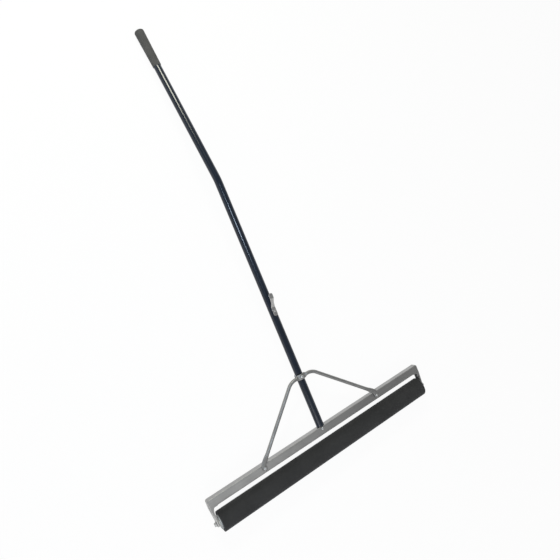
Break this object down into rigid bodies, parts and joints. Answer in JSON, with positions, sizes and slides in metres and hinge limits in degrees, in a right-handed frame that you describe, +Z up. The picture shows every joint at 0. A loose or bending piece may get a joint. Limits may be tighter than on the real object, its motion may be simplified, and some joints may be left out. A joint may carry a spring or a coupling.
{
  "type": "roller squeegee",
  "caption": "Long-handled floor squeegee with a soft foam roller on an axle, held in a folded metal yoke with a bow brace, a bent tubular handle, a grip and a hanging hook.",
  "frame": {"origin": "middle of the underside of the squeegee's box, as it lies on its back", "axes": "+X along the roller, +Y along the handle to the grip, +Z up, away from the floor"},
  "size_m": [0.9578, 1.7372, 0.1331],
  "materials": {
    "foam": "matte closed-cell foam",
    "core": "extruded",
    "plug": "moulded",
    "bush": "moulded nylon",
    "yoke": "mill",
    "handle": "gloss",
    "grip": "matte foam",
    "brace": "zinc plated",
    "hook": "zinc plated",
    "fastener": "zinc plated"
  },
  "bodies": {
    "frame": {"axle_rod": "fastener", "axle_nut_left": "fastener", "axle_nut_right": "fastener", "axle_washer_left": "fastener", "axle_washer_right": "fastener", "axle_spacer_left": "fastener", "axle_spacer_right": "fastener", "thrust_washer_left": "fastener", "thrust_washer_right": "fastener", "yoke": "yoke", "handle_tube": "handle", "socket_plug": "fastener", "handle_bolt": "fastener", "handle_bolt_washer": "fastener", "handle_bolt_nut": "fastener", "handle_grip": "grip", "bow_brace": "brace", "saddle_bolt": "fastener", "saddle_washer": "fastener", "saddle_nut": "fastener", "foot_bolt_left": "fastener", "foot_bolt_right": "fastener", "foot_nut_left": "fastener", "foot_nut_right": "fastener", "fence_hook": "hook", "hook_rivet": "fastener"},
    "roller": {"roller_foam": "foam", "roller_core": "core", "end_plug_left": "plug", "end_plug_right": "plug", "bush_left": "bush", "bush_right": "bush"}
  },
  "joints": [
    {"name": "roller_spin", "type": "hinge", "parent": "frame", "child": "roller", "pos_m": [0, -0.83388, 0.03476], "axis": [1, 0, 0], "continuous": true}
  ]
}
